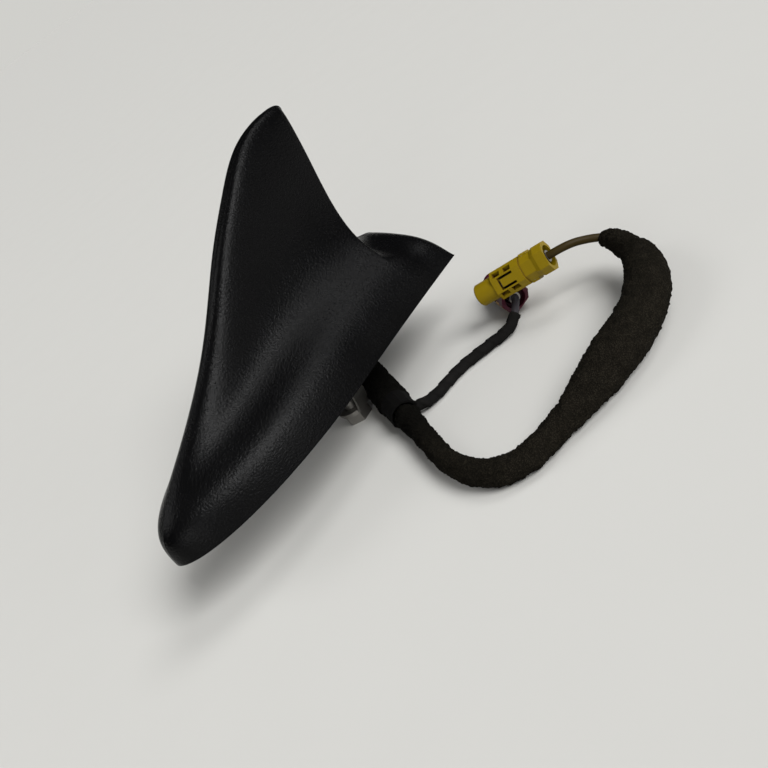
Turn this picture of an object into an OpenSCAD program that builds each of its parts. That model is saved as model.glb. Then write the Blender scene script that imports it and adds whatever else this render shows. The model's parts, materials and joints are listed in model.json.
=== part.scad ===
// Roof antenna in the shape of a shark fin, with its two leads and their round radio plugs.
// Origin: where the fixing spigot's bolt axis meets the roof skin. +Z up, nose towards -X.

/* [Cover] */
// Length of the cover from nose to tail
cover_len = 160; // [150:1:180]
// Width of the cover's foot below the middle of the fin
cover_w = 63.4; // [60:0.2:72]
// Height of the fin's peak above the cover's lower edge
fin_h = 83; // [76:1:92]
// Height of the low tail behind the fin
tail_h = 17; // [15:0.5:22]
// How far the tail bulges past its two corners
tail_bow = 7.4; // [4:0.2:10]
// Height of the shoulder where the fin grows out of the skirt
shoulder_h = 17.2; // [15:0.2:20]
// Thickness of the fin at its root
blade_root_t = 13.2; // [12:0.2:16]
// Thickness of the fin halfway up
blade_mid_t = 12.6; // [11:0.2:14]
// Thickness of the fin's rounded crest
crest_t = 8.4; // [7.6:0.2:10]
// Thickness of the moulded wall
cover_wall = 2.2; // [1.8:0.1:2.6]
// Height of the cover's lower edge above the roof
edge_gap = 0.8; // [0.4:0.1:1.2]
// Diameter of the screw bosses inside the cover
boss_d = 6; // [5.4:0.2:7]
// Diameter of the pilot hole in each boss
pilot_d = 2.5; // [2.4:0.1:2.8]

/* [Base plate and seal] */
// Thickness of the rubber seal under the plate
seal_t = 1.4; // [1:0.1:2]
// Width of the raised bead round the seal
bead_w = 3; // [2:0.5:5]
// Thickness of the cast base plate
plate_t = 3; // [2.5:0.1:4]
// Gap between the cover's inner wall and the plate
plate_gap = 0.4; // [0.3:0.1:0.8]
// Height of the rim that stands on the plate
rim_h = 3; // [2:0.5:4]
// Thickness of that rim
rim_t = 1.6; // [1.2:0.1:2]
// Distance from the nose to the bolt axis
stud_x = 94.6; // [90:0.2:98]
// Length of the spigot that goes through the roof
spigot_len = 31; // [30:1:34]
// Width of the spigot
spigot_w = 16; // [15:0.5:18]
// Depth of the spigot below the roof skin
spigot_drop = 9; // [8:0.5:11]
// Corner radius of the spigot
spigot_r = 4; // [2:0.5:5]

/* [Circuit board] */
// Length of the main board
board_len = 94; // [90:1:98]
// Width of the main board
board_w = 34; // [32:1:36]
// Thickness of the boards that carry the tracks
board_t = 1.6; // [1:0.1:2]
// Height of the cast posts that hold the board
post_h = 3; // [2:0.5:4]
// Side of the square ceramic patch
patch_w = 25; // [20:1:25]
// Thickness of the ceramic patch
patch_t = 4; // [2:0.5:5]
// Thickness of the upright board in the fin
mast_t = 1; // [0.8:0.1:1.2]
// Clearance between the upright board's edge and the cover's inner wall
mast_gap = 3; // [2.6:0.2:4]
// Height of the metal screening can
can_h = 3.2; // [2.5:0.1:4]

/* [Roof clamp] */
// Diameter of the clamp bolt
bolt_d = 6; // [5:0.5:6]
// Width across the flats of the bolt's head
bolt_af = 10; // [9:0.5:10]
// Height of the bolt's hexagon
bolt_head_h = 4; // [3.5:0.5:5]
// Diameter of the flange under the head
bolt_flange_d = 12; // [11.5:0.5:13]
// Depth of the bolt's lower end below the roof skin
clamp_drop = 26; // [24:0.5:28]
// Thickness of the spring steel claw
claw_t = 1; // [0.8:0.1:1.2]
// Width of each claw leg
claw_w = 7; // [5:0.5:7]

/* [Leads] */
// Diameter of the coaxial leads
lead_d = 3; // [2.6:0.1:3.2]
// Distance between the two leads where they leave the base
lead_pitch = 3.4; // [3.3:0.1:3.8]
// Thickness of the cloth tape on the phone lead
tape_t = 0.7; // [0.4:0.1:0.9]
// Clearance between a lead and what is wrapped round it
wrap_gap = 0.15; // [0.1:0.05:0.25]

/* [Plug housings] */
// Outer diameter of the plug's round nose
nose_d = 8.8; // [8.6:0.1:9.2]
// Diameter of the bore through the housing
plug_bore = 6.6; // [6.2:0.1:6.8]
// Width of the housing across its sides
plug_w = 11.2; // [10.6:0.1:12]
// Height of the housing across its latch face
plug_h = 9.6; // [9.4:0.1:10]
// Chamfer along the housing's long edges
plug_chamfer = 2.6; // [2:0.1:3]
// Depth of the step from the housing's body down to its neck
neck_step = 0.6; // [0.4:0.05:0.7]
// Width of the rear flange
flange_w = 11.4; // [11:0.1:12.4]
// Diameter of the round recess in the rear face
recess_d = 8.4; // [8:0.1:8.8]
// Width of the slots that cut the latch tongue free
slot_w = 0.9; // [0.5:0.1:1]
// Thickness of the locking clip
clip_t = 0.8; // [0.6:0.1:1]

/* [Plug contacts] */
// Outer diameter of the contact's front sleeve
sleeve_d = 5; // [4.8:0.1:5.4]
// Wall of the contact's front sleeve
sleeve_wall = 0.4; // [0.3:0.05:0.5]
// Diameter of the centre pin
pin_d = 0.9; // [0.7:0.1:1]
// Outer diameter of the crimped ferrule
ferrule_d = 4.6; // [4.4:0.1:5]

/* [Hidden] */

eps = 0.01;
fit = 0.05;                         // clearance of pieces that are pressed or screwed together
foot_len = cover_len - tail_bow;    // nose to rear corners
plate_z = edge_gap + seal_t;        // underside of the base plate
plate_top = plate_z + plate_t;
board_z = plate_top + post_h;       // underside of the main board
board_top = board_z + board_t;

// Control points of the crest seen from the side: station and height as shares of the cover's
// length and of the fin's or the tail's height, the foot station below it, and how far the
// section has turned from a blade into a plain arch.
CREST = [
    [0, 0, 0, 0.95], [0, 0.085, 0.004, 0.95], [0.025, 0.172, 0.036, 0.95], [0.197, 0.312, 0.2, 0.6],
    [0.389, 0.492, 0.388, 0.2], [0.557, 0.735, 0.53, 0], [0.69, 0.878, 0.628, 0],
    [0.79, 0.988, 0.698, 0], [0.908, 1.008, 0.757, 0], [0.994, 0.972, 0.796, 0],
    [0.922, 0.85, 0.828, 0.05], [0.868, 0.61, 0.86, 0.2], [0.872, 0.35, 0.893, 0.4]];
TAIL = [
    [0.915, 1.27, 0.922, 0.62], [0.948, 1.17, 0.948, 0.8], [0.99, 1, 0.98, 0.92],
    [1, 0.49, 0.996, 1], [1, 0, 1, 1]];
spine_ctrl = concat(
    [for (c = CREST) [c[0] * cover_len, c[1] * fin_h, c[2] * foot_len, c[3]]],
    [for (c = TAIL) [c[0] * cover_len, c[1] * tail_h, c[2] * foot_len, c[3]]]);

nose_run = 89;       // length over which the footprint widens from the nose
nose_power = 2.05;   // how round the nose is in plan
tail_flare = 1.12;   // width at the rear corners, as a share of the width below the fin
flare_from = 88;     // station where the footprint starts to flare
spine_n = 44;        // sections along the cover
half_n = 13;         // points from the cover's edge to its crest
tail_i = 33;         // section where the fin ends and the tail begins

// One point of a uniform cubic B-spline whose ends are held by tripled control points
function held(c) = concat([c[0], c[0]], c, [c[len(c) - 1], c[len(c) - 1]]);
function spline_at(h, t) =
    let (m = len(h) - 3, i = min(floor(t * m), m - 1), f = t * m - i)
    (pow(1 - f, 3) * h[i] + (3 * pow(f, 3) - 6 * f * f + 4) * h[i + 1]
     + (-3 * pow(f, 3) + 3 * f * f + 3 * f + 1) * h[i + 2] + pow(f, 3) * h[i + 3]) / 6;
function spline(c, n) = let (h = held(c)) [for (i = [0:n - 1]) spline_at(h, i / (n - 1))];
// The same, with its first and last steps made longer, because the held ends draw points together
function even_spline(c, n) = let (h = held(c))
    [for (i = [0:n - 1]) spline_at(h, i == 0 ? 0 : i == n - 1 ? 1 : (i + 0.9) / (n + 0.8))];

// Half width of the footprint at a station along the cover's edge
function half_width(x) =
    let (s = min(max(x / nose_run, 0), 1),
         r = min(max((x - flare_from) / (foot_len - flare_from), 0), 1))
    cover_w / 2 * pow(1 - pow(1 - s, nose_power), 1 / 1.8) * (1 + (tail_flare - 1) * pow(r, 1.5));

spine = even_spline(spine_ctrl, spine_n);
crest_line = [for (s = spine) [s[0], s[1]]];
foot_line = [for (s = spine) [s[2], half_width(s[2])]];

// A line moved sideways by d, towards its right-hand side
function unit(v) = v / max(norm(v), 1e-6);
function beside(p, d) = [for (i = [0:len(p) - 1])
    let (a = p[max(i - 1, 0)], b = p[min(i + 1, len(p) - 1)], t = unit(b - a))
    p[i] + d * [t[1], -t[0]]];

// The smaller of two lengths, blended where they are alike so that no crease shows
function soft_min(a, b) = a * b / pow(pow(a, 4) + pow(b, 4), 0.25);

// Half section of the cover: from the foot (width w, height 0) up to the crest (width 0, height h).
// k = 0 is the blade with its skirt, k = 1 the plain arch of nose and tail; d thins it by a wall.
function section(w, h, k, d) =
    let (hs = soft_min(shoulder_h - d, 0.64 * h),
         root = soft_min(max(blade_root_t / 2 - d, 0.02), 0.47 * w),
         mid = soft_min(max(blade_mid_t / 2 - d, 0.015), 0.4 * w),
         top = soft_min(max(crest_t / 2 - d, 0.01), 0.3 * w),
         blade = [[w, 0], [0.92 * w, 0.6 * hs], [0.77 * w, 1.05 * hs],
                  [root + 0.22 * (w - root), hs + 0.16 * (h - hs)], [root, hs + 0.42 * (h - hs)],
                  [mid, hs + 0.75 * (h - hs)], [top, h], [0, h]],
         ha = soft_min(h, 1.3 * (shoulder_h - d)),
         arch = [[w, 0], [0.95 * w, 0.3 * ha], [0.85 * w, 0.6 * ha], [0.68 * w, 0.85 * ha],
                 [0.46 * w, 0.97 * ha], [0.28 * w, 0.3 * h + 0.7 * ha], [0.12 * w, 0.8 * h + 0.2 * ha],
                 [0, 1.01 * h]])
    spline((1 - k) * blade + k * arch, half_n);

// All the points of one skin of the cover, d inside the outer one: the nose point, then sections
function skin(d) =
    let (cr = beside(crest_line, d), ft = beside(foot_line, d))
    concat([[d, 0, 0]], [for (i = [1:spine_n - 1])
        let (last = i == spine_n - 1,
             h = last ? 0 : max(cr[i][1], 0.3 * crest_line[i][1]),
             w = max(ft[i][1], 0.3 * foot_line[i][1]), s = section(w, h, spine[i][3], d),
             x0 = min(max(ft[i][0], d + 0.3 * foot_line[i][0]),
                      foot_len - d - 0.02 * (spine_n - 1 - i)),
             x1 = last ? cover_len - d : cr[i][0])
        for (j = [0:2 * half_n - 2])
            let (m = j < half_n ? j : 2 * half_n - 2 - j, side = j < half_n ? -1 : 1,
                 g = pow(sin(90 * m / (half_n - 1)), 2))
            [x0 + (x1 - x0) * g, side * s[m][0], s[m][1]]]);

across = 2 * half_n - 1;
skin_size = 1 + (spine_n - 1) * across;
function at(i, j) = 1 + (i - 1) * across + j;
// Faces of a skin: a fan at the nose, then strips; turn = 1 flips them
function skin_faces(o, turn) = concat(
    [for (j = [0:across - 2]) turn ? [o, o + at(1, j + 1), o + at(1, j)]
                                   : [o, o + at(1, j), o + at(1, j + 1)]],
    [for (i = [1:spine_n - 2], j = [0:across - 2], k = [0, 1])
        let (a = o + at(i, j), b = o + at(i + 1, j), c = o + at(i + 1, j + 1), e = o + at(i, j + 1))
        k == 0 ? (turn ? [a, c, b] : [a, b, c]) : (turn ? [a, e, c] : [a, c, e])]);
// The edge loop of a skin: near foot to the tail, across the tail, far foot back to the nose
edge_loop = concat([0], [for (i = [1:spine_n - 1]) at(i, 0)],
                   [for (j = [1:across - 2]) at(spine_n - 1, j)],
                   [for (i = [spine_n - 1:-1:1]) at(i, across - 1)]);
function edge_faces() = [for (n = [0:len(edge_loop) - 1], k = [0, 1])
    let (a = edge_loop[n], b = edge_loop[(n + 1) % len(edge_loop)])
    k == 0 ? [a, b + skin_size, a + skin_size] : [a, b, b + skin_size]];

// Outline of what fits inside the cover: the skin that lies d inside the outer one, cut at height
// z above the cover's edge, in the part's own frame
function level_cut(d, z) =
    let (s = skin(d), top = half_n - 1,
         side = [for (i = [1:spine_n - 2]) let (p = [for (j = [0:top]) s[at(i, j)]])
                 if (p[top][2] > z + 0.2)
                     [lookup(z, [for (q = p) [q[2], q[0]]]), -lookup(z, [for (q = p) [q[2], q[1]]])]],
         nose = lookup(z, [for (i = [1:12]) [s[at(i, top)][2], s[at(i, top)][0]]]),
         tail = lookup(z, [for (i = [tail_i + 3:spine_n - 1]) [s[at(i, top)][2], s[at(i, top)][0]]]),
         half = concat([[nose, 0]], side, [[tail, 0]]))
    [for (p = concat(half, [for (i = [len(half) - 2:-1:1]) [half[i][0], -half[i][1]]]))
        [p[0] - stud_x, p[1]]];

// Screws that hold the cover: x, y and height of the boss above the cover's edge
// Each boss meets the cover's inner skin at a point of one of its sections
function boss_at(i, j, bite) = let (p = skin(cover_wall)[at(i, j)]) [p[0] - stud_x, p[1], p[2] + bite];
side_boss = 4;                      // points up from the cover's edge
cover_fix = [boss_at(8, half_n - 1, 0.2 * cover_wall), boss_at(15, side_boss, 0),
             boss_at(15, across - 1 - side_boss, 0), boss_at(tail_i, half_n - 1, 0.2 * cover_wall)];
screw_d = 2.4;
screw_head_d = 5;
screw_len = 9;
board_x = -56;                      // front edge of the main board
board_fix = [for (x = [board_x + 5, board_x + board_len - 5], y = [-1, 1])
             [x, y * (board_w / 2 - 4)]];
post_d = 6;
fix_gap = 2;                        // between neighbours on the main board
patch_x = board_x + 12 + patch_w / 2;
can = [20, 22];                     // length and width of the screening can
can_x = patch_x + patch_w / 2 + fix_gap + can[0] / 2;
bracket_w = 7;
mast_hole_d = 2.2;
mast_hole_z = 3;                    // holes of the upright board above the main one
aperture = [10, 9];                 // cable aperture in the spigot
aperture_x = 16;
spigot_x0 = -8.5;

// The leads run side by side along lead_side, and leave the base towards lead_run
lead_run = unit([-0.58, -0.81]);
lead_side = [lead_run[1] * -1, lead_run[0]];
function pair(k) = [aperture_x, 0] + k * lead_pitch / 2 * lead_side;

// Routes of the leads: centre line points, chosen from how they lie
gps_run = [
    [12.3, -2.2, -19.4], [10, -5.5, -20.5], [4.6, -13, -20.5], [-0.6, -20, -20.5],
    [-3.6, -24.6, -20.5], [-6.2, -29.4, -20.5], [-8.3, -34, -20.8], [-15.2, -44, -21.4],
    [-22.2, -53.4, -21.5], [-29, -63, -21.6], [-34, -72.4, -21.6], [-36.5, -82, -21.6],
    [-35.8, -91.8, -21.5], [-29.8, -99.6, -21.2], [-20.8, -104, -20.8], [-11.6, -108.4, -20],
    [-2, -112, -18.9], [8.6, -115.2, -18], [19, -117.6, -17.7], [29.5, -118.4, -17.3],
    [40.5, -116.8, -16.3], [51.4, -112, -14.9], [58.4, -105.8, -13.5], [63.4, -98.8, -12.2],
    [66, -93.4, -11.3], [64.8, -90.4, -9.9], [63, -87.6, -8.6], [60.4, -84.9, -7.2],
    [57.4, -81.6, -6.4]];
phone_run = [
    [15.1, -4.2, -19.4], [12.8, -7.5, -20.5], [7.4, -15, -20.5], [2, -22.5, -20.5],
    [-1.6, -27.6, -20.6], [-2.9, -31.5, -21.2], [-1.8, -35.2, -22.2], [1.4, -38, -23],
    [6, -40, -23.6], [12, -41.6, -23.7], [19, -44.2, -23.7], [25.4, -48.6, -23.7],
    [31, -53, -23.6], [35, -56.7, -23.2], [38.6, -58.7, -22.3], [42.4, -59.1, -21],
    [46.7, -57.9, -20.1]];
foam_from = 11;                     // point of the GPS lead's route where the foam sleeve starts
// Half width and half height of the foam round each point from there on
FOAM = [[4.4, 4.4], [4.1, 4.2], [3.9, 4.1], [3.9, 4.1], [4.1, 4.2], [4.5, 4.4], [4.7, 4.5],
        [4.4, 4.4], [4.3, 4.4], [5.3, 5.3], [7.1, 6.8], [8.2, 7.6], [8.1, 7.7], [7.7, 7.5],
        [7.6, 7.4], [6.5, 6.4], [4.9, 4.9], [4.1, 4.1], [2.9, 2.9]];

// Plugs: tip of the nose, heading and tilt of the axis from nose to rear, roll, lengths of the
// nose, the body, the neck and the flange
YELLOW = [[44, -48, -11], -70, -8.2, 65, [8.5, 12.5, 5, 5.5]];
BORDEAUX = [[64.7, -38.4, -19.6], -128, 0, 20, [5, 8.5, 4, 5]];
function total(s) = s[0] + s[1] + s[2] + s[3];
function lead_stop(s) = s[0] + s[1] + 0.5;    // where the lead ends inside the plug
function along(p, d) = let (h = p[1], t = p[2])
    p[0] + d * [cos(h) * cos(t), sin(h) * cos(t), -sin(t)];

gps_route = concat(
    [for (z = [board_z, 2, -spigot_drop, -12.5]) [pair(-1)[0], pair(-1)[1], z]],
    [[14, 0.1, -16.5]], gps_run, [along(YELLOW, total(YELLOW[4])), along(YELLOW, lead_stop(YELLOW[4]))]);
phone_route = concat(
    [for (z = [board_z, 2, -spigot_drop, -12.5]) [pair(1)[0], pair(1)[1], z]],
    [[16.8, -1.9, -16.5]], phone_run,
    [along(BORDEAUX, total(BORDEAUX[4])), along(BORDEAUX, lead_stop(BORDEAUX[4]))]);
root_route = [
    [aperture_x, 0, -12.5], [15.4, -0.9, -16.5], [13.7, -3.2, -19.4], [11.4, -6.5, -20.5],
    [5.6, -14.6, -20.5], [-1.4, -24.3, -20.5]];

// Rings of k points round a route; size(i) gives the half width and half height of ring i
function tangent(r, i) = unit(r[min(i + 1, len(r) - 1)] - r[max(i - 1, 0)]);
function side_of(r, i) =
    let (t = tangent(r, i)) norm([t[0], t[1]]) > 0.25 ? unit([t[1], -t[0], 0]) : side_of(r, i + 1);
function ring(r, i, size, k) =
    let (t = tangent(r, i), s0 = side_of(r, i), s = unit(s0 - (s0 * t) * t), u = cross(s, t))
    [for (a = [0:k - 1]) r[i] + size[0] * cos(360 * (a + 0.5) / k) * s
                              + size[1] * sin(360 * (a + 0.5) / k) * u];
// A swept tube from ring i0 to i1; inner is empty for a solid one
module sweep(r, i0, i1, outer, inner, k) {
    n = i1 - i0 + 1;
    hollow = len(inner) > 0;
    rings = [for (i = [i0:i1]) each ring(r, i, outer[i - i0], k)];
    bore = hollow ? [for (i = [i0:i1]) each ring(r, i, inner[i - i0], k)] : [];
    o = n * k;
    walls = [for (i = [0:n - 2], a = [0:k - 1]) let (b = (a + 1) % k)
             each [[i * k + a, i * k + b, (i + 1) * k + b], [i * k + a, (i + 1) * k + b, (i + 1) * k + a]]];
    inside = !hollow ? [] : [for (f = walls) [f[0] + o, f[2] + o, f[1] + o]];
    caps = !hollow ? [[for (a = [k - 1:-1:0]) a], [for (a = [0:k - 1]) (n - 1) * k + a]]
         : [for (a = [0:k - 1], e = [0, 1]) let (b = (a + 1) % k, q = e * (n - 1) * k)
            each (e ? [[q + a, q + b, q + b + o], [q + a, q + b + o, q + a + o]]
                    : [[q + a, q + b + o, q + b], [q + a, q + a + o, q + b + o]])];
    polyhedron(concat(rings, bore), concat(walls, inside, caps), convexity = 6);
}
function same(v, n) = [for (i = [1:n]) v];

module rounded(l, w, r, h) {
    linear_extrude(h) union() {
        square([l - 2 * r, w], center = true);
        square([l, w - 2 * r], center = true);
        for (x = [-1, 1], y = [-1, 1])
            translate([x * (l / 2 - r), y * (w / 2 - r)]) circle(r, $fn = 32);
    }
}

// Cover: one moulded shell, with four bosses that take the screws from below
module cover_boss(f) {
    top = f[2] + edge_gap;
    web_l = boss_d + 2.4;
    web_t = 1.4;
    hull() {
        translate([f[0], f[1], plate_top]) cylinder(d = boss_d, h = 1, $fn = 24);
        translate([f[0], f[1], top - 3]) cylinder(d = boss_d - 0.6, h = 3, $fn = 24);
    }
    // web from the boss towards the nearest wall
    hull() {
        translate([f[0] - web_l / 2, f[1] - web_t / 2, top - boss_d]) cube([web_l, web_t, boss_d / 2]);
        translate([f[0] - web_l / 2 + 1, f[1] - web_t / 2, plate_top + 1]) cube([web_l - 2, web_t, 1]);
    }
}

module fin_cover() {
    color([0.09, 0.09, 0.1]) difference() {
        union() {
            translate([-stud_x, 0, edge_gap])
                polyhedron(concat(skin(0), skin(cover_wall)),
                           concat(skin_faces(0, true), skin_faces(skin_size, false), edge_faces()),
                           convexity = 8);
            for (f = cover_fix) cover_boss(f);
        }
        for (f = cover_fix)
            translate([f[0], f[1], plate_top - 1]) cylinder(d = pilot_d, h = screw_len, $fn = 24);
    }
}

// Base: a cast tray with posts for the board and the spigot that goes through the roof
plate_inset = cover_wall + plate_gap;
plate_outline = level_cut(plate_inset, plate_top - edge_gap);
module base_plate() {
    rim_z = plate_top + rim_h - edge_gap;
    color([0.72, 0.72, 0.7]) difference() {
        union() {
            translate([0, 0, plate_z]) linear_extrude(plate_t) polygon(plate_outline);
            translate([0, 0, plate_top - eps]) linear_extrude(rim_h) difference() {
                polygon(level_cut(plate_inset, rim_z));
                polygon(level_cut(plate_inset + rim_t, rim_z));
            }
            for (p = board_fix)
                translate([p[0], p[1], plate_top - eps]) cylinder(d = post_d, h = post_h + eps, $fn = 32);
            translate([spigot_x0 + spigot_len / 2, 0, -spigot_drop])
                rounded(spigot_len, spigot_w, spigot_r, spigot_drop + plate_z + eps);
        }
        translate([0, 0, -spigot_drop - 1]) cylinder(d = bolt_d + 2 * fit, h = 12 + 1, $fn = 48);
        translate([aperture_x, 0, -spigot_drop - 1])
            rounded(aperture[0], aperture[1], 2, spigot_drop + plate_top + 2);
        for (p = board_fix)
            translate([p[0], p[1], plate_top]) cylinder(d = screw_d + 2 * fit, h = post_h + 1, $fn = 24);
        for (f = cover_fix) translate([f[0], f[1], plate_z - 1]) {
            cylinder(d = screw_d + 0.6, h = plate_t + 2, $fn = 24);
            cylinder(d = screw_head_d + 0.4, h = 2.5, $fn = 32);
        }
    }
}

// Seal: a rubber pad under the plate, with a raised bead that presses on the roof
module base_seal() {
    color([0.05, 0.05, 0.05]) difference() {
        union() {
            translate([0, 0, edge_gap]) linear_extrude(seal_t) polygon(plate_outline);
            linear_extrude(edge_gap + eps) difference() {
                polygon(level_cut(plate_inset + 1, plate_top - edge_gap));
                polygon(level_cut(plate_inset + 1 + bead_w, plate_top - edge_gap));
            }
        }
        translate([spigot_x0 + spigot_len / 2, 0, -1])
            rounded(spigot_len + 0.8, spigot_w + 0.8, spigot_r + 0.4, 4);
        for (f = cover_fix)
            translate([f[0], f[1], -1]) cylinder(d = screw_head_d + 1, h = 4, $fn = 32);
    }
}

// A screw that points up, with a flat head below z = 0 of its own frame
module screw(length, head_d, head_h) {
    translate([0, 0, -eps]) cylinder(d = screw_d, h = length + eps, $fn = 24);
    difference() {
        translate([0, 0, -head_h]) cylinder(d = head_d, h = head_h, $fn = 32);
        for (a = [0, 90])
            rotate(a) translate([-head_d * 0.3, -0.35, -head_h - eps])
                cube([head_d * 0.6, 0.7, head_h * 0.6]);
    }
}

module cover_screws() {
    color([0.6, 0.6, 0.62]) for (f = cover_fix)
        translate([f[0], f[1], plate_z + 1.5]) screw(screw_len - 1, screw_head_d, 1.4);
}

module board_screws() {
    color([0.6, 0.6, 0.62]) for (p = board_fix)
        translate([p[0], p[1], board_top]) rotate([180, 0, 0]) screw(board_t + post_h - 0.4, 4.4, 1.6);
}

module circuit_board() {
    color([0.08, 0.35, 0.2]) difference() {
        translate([board_x + board_len / 2, 0, board_z]) rounded(board_len, board_w, 3, board_t);
        for (p = board_fix)
            translate([p[0], p[1], board_z - 1]) cylinder(d = screw_d + 0.4, h = board_t + 2, $fn = 24);
        translate([patch_x, 0, board_z - 1]) cylinder(d = 1.6, h = board_t + 2, $fn = 24);
    }
}

// Satellite patch: a ceramic block with a silvered face and a pin down through the board
module gps_patch() {
    color([0.75, 0.7, 0.6]) difference() {
        translate([patch_x, 0, board_top]) rounded(patch_w, patch_w, 1.2, patch_t);
        translate([patch_x, 0, board_top - 1]) cylinder(d = 1.6, h = patch_t + 2, $fn = 24);
    }
}

module patch_electrode() {
    color([0.8, 0.8, 0.82]) difference() {
        translate([patch_x, 0, board_top + patch_t]) rounded(patch_w - 4, patch_w - 4, 0.8, 0.2);
        translate([patch_x, 0, board_top]) cylinder(d = 1.6, h = patch_t + 2, $fn = 24);
        // the two trimmed corners that tune the patch
        for (s = [-1, 1])
            translate([patch_x + s * (patch_w - 4) / 2, s * (patch_w - 4) / 2, board_top + patch_t - 1])
                rotate(45) cube([3, 3, 4], center = true);
    }
}

module patch_feed_pin() {
    color([0.85, 0.7, 0.4]) union() {
        translate([patch_x, 0, board_z - 1.2]) cylinder(d = 1.4, h = patch_t + board_t + 1.4, $fn = 24);
        translate([patch_x, 0, board_top + patch_t + 0.2]) cylinder(d = 3, h = 0.5, $fn = 32);
    }
}

// Screening can with vent holes in its lid
module screening_can() {
    t = 0.3;
    color([0.78, 0.78, 0.78]) translate([can_x, 0, board_top]) difference() {
        rounded(can[0], can[1], 1, can_h);
        translate([0, 0, -eps]) rounded(can[0] - 2 * t, can[1] - 2 * t, 0.7, can_h - t);
        for (x = [-6:4:6], y = [-6:4:6])
            translate([x, y, can_h - 1]) cylinder(d = 1.4, h = 2, $fn = 16);
    }
}

// Upright board that follows the inside of the fin, cut away over the screening can
mast_line = [for (p = beside(crest_line, cover_wall + mast_gap)) [p[0] - stud_x, p[1] + edge_gap]];
// sections under which the board follows the crest; its corner at the peak is cut off straight
mast_under = [for (i = [12:29]) if (i < 22 || i > 24) i];
mast_x = [can_x + can[0] / 2 + fix_gap, board_fix[2][0] - fix_gap];
bracket_x = [mast_x[0] + bracket_w / 2 + 1.5, mast_x[1] - bracket_w / 2 - 1.5];
module mast_board() {
    rise = [for (i = mast_under) mast_line[i]];
    over_can = board_top + can_h + fix_gap;
    color([0.1, 0.32, 0.2]) difference() {
        translate([0, mast_t / 2, 0]) rotate([90, 0, 0]) linear_extrude(mast_t)
            polygon(concat([[mast_x[0], board_top], [mast_x[0], over_can], [rise[0][0], over_can]], rise,
                           [[mast_x[1], board_top + shoulder_h], [mast_x[1], board_top]]));
        for (x = bracket_x)
            translate([x, 0, board_top + mast_hole_z]) rotate([90, 0, 0])
                cylinder(d = mast_hole_d, h = 4, center = true, $fn = 24);
    }
}

// Two angle brackets that stand the upright board on the main one
module mast_brackets() {
    color([0.7, 0.7, 0.72]) for (x = bracket_x) translate([x, 0, board_top]) difference() {
        union() {
            translate([-bracket_w / 2, mast_t / 2 + fit, 0]) cube([bracket_w, 5, 0.8]);
            translate([-bracket_w / 2, mast_t / 2 + fit, 0]) cube([bracket_w, 0.8, 2 * mast_hole_z]);
        }
        translate([0, 0, mast_hole_z]) rotate([90, 0, 0])
            cylinder(d = mast_hole_d, h = 8, center = true, $fn = 24);
    }
}

// Leaf that carries the signal from the upright board down to the main one
module mast_contact() {
    color([0.85, 0.72, 0.4]) translate([(mast_x[0] + mast_x[1]) / 2 - 1.5, -mast_t / 2 - fit, board_top])
        rotate([90, 0, 90]) linear_extrude(3)
            polygon([[0, 4], [0, 0.4], [-1, 0], [-4, 0], [-4, 0.3], [-1.1, 0.35], [-0.35, 0.7], [-0.35, 4]]);
}

// Rubber grommet that fills the cable aperture
module cable_grommet() {
    color([0.07, 0.07, 0.07]) difference() {
        translate([aperture_x, 0, -spigot_drop])
            rounded(aperture[0] - 2 * fit, aperture[1] - 2 * fit, 2, spigot_drop + plate_top);
        for (k = [-1, 1])
            translate([pair(k)[0], pair(k)[1], -spigot_drop - 1])
                cylinder(d = lead_d + 2 * fit, h = spigot_drop + plate_top + 2, $fn = 24);
    }
}

// Clamp: a flanged bolt pulls a spring claw up against the inside of the roof
flange_z = -clamp_drop + bolt_head_h;
claw_z = flange_z + 1;
module clamp_bolt() {
    color([0.62, 0.6, 0.5]) union() {
        translate([0, 0, -clamp_drop]) cylinder(d = bolt_af / cos(30), h = bolt_head_h + eps, $fn = 6);
        translate([0, 0, flange_z]) cylinder(d = bolt_flange_d, h = 1, $fn = 48);
        translate([0, 0, claw_z - eps]) cylinder(d = bolt_d, h = clamp_drop - bolt_head_h - 1 + 2, $fn = 48);
    }
}

module clamp_claw() {
    disc_d = bolt_flange_d + 1;
    out = spigot_w / 2 + 1;             // legs pass outside the spigot
    low = claw_z + claw_t;
    color([0.35, 0.35, 0.37]) difference() {
        union() {
            translate([0, 0, claw_z]) cylinder(d = disc_d, h = claw_t, $fn = 48);
            for (s = [-1, 1]) scale([1, s, 1]) translate([-claw_w / 2, 0, 0]) rotate([90, 0, 90])
                linear_extrude(claw_w) polygon([
                    [4, low - claw_t], [disc_d / 2 + 0.4, low - claw_t], [out - 0.4, low + 5],
                    [out + 0.2, -spigot_drop - 1], [out + 4.6, -2.6], [out + 4, -2],
                    [out - 0.7, -spigot_drop + 1.6], [out - 1.2, -spigot_drop - 1.4], [out - 1.4, low + 5],
                    [disc_d / 2 - 0.4, low], [4, low]]);
        }
        translate([0, 0, claw_z - 1]) cylinder(d = bolt_d + 0.6, h = claw_t + 2, $fn = 48);
    }
}

// Leads and what is wrapped round them
lead_ring = [lead_d / 2, lead_d / 2];
bore_ring = [lead_d / 2 + wrap_gap, lead_d / 2 + wrap_gap];
module gps_lead() {
    n = len(gps_route);
    color([0.3, 0.22, 0.12]) sweep(gps_route, 0, n - 1, same(lead_ring, n), [], 8);
}

module phone_lead() {
    n = len(phone_route);
    color([0.25, 0.22, 0.26]) sweep(phone_route, 0, n - 1, same(lead_ring, n), [], 8);
}

module foam_root() {
    n = len(root_route);
    hole = [lead_pitch / 2 + lead_d / 2 + 0.8, lead_d / 2 + 0.6];
    color([0.12, 0.1, 0.09]) sweep(root_route, 0, n - 1, same([6.2, 5.4], n), same(hole, n), 12);
}

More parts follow.
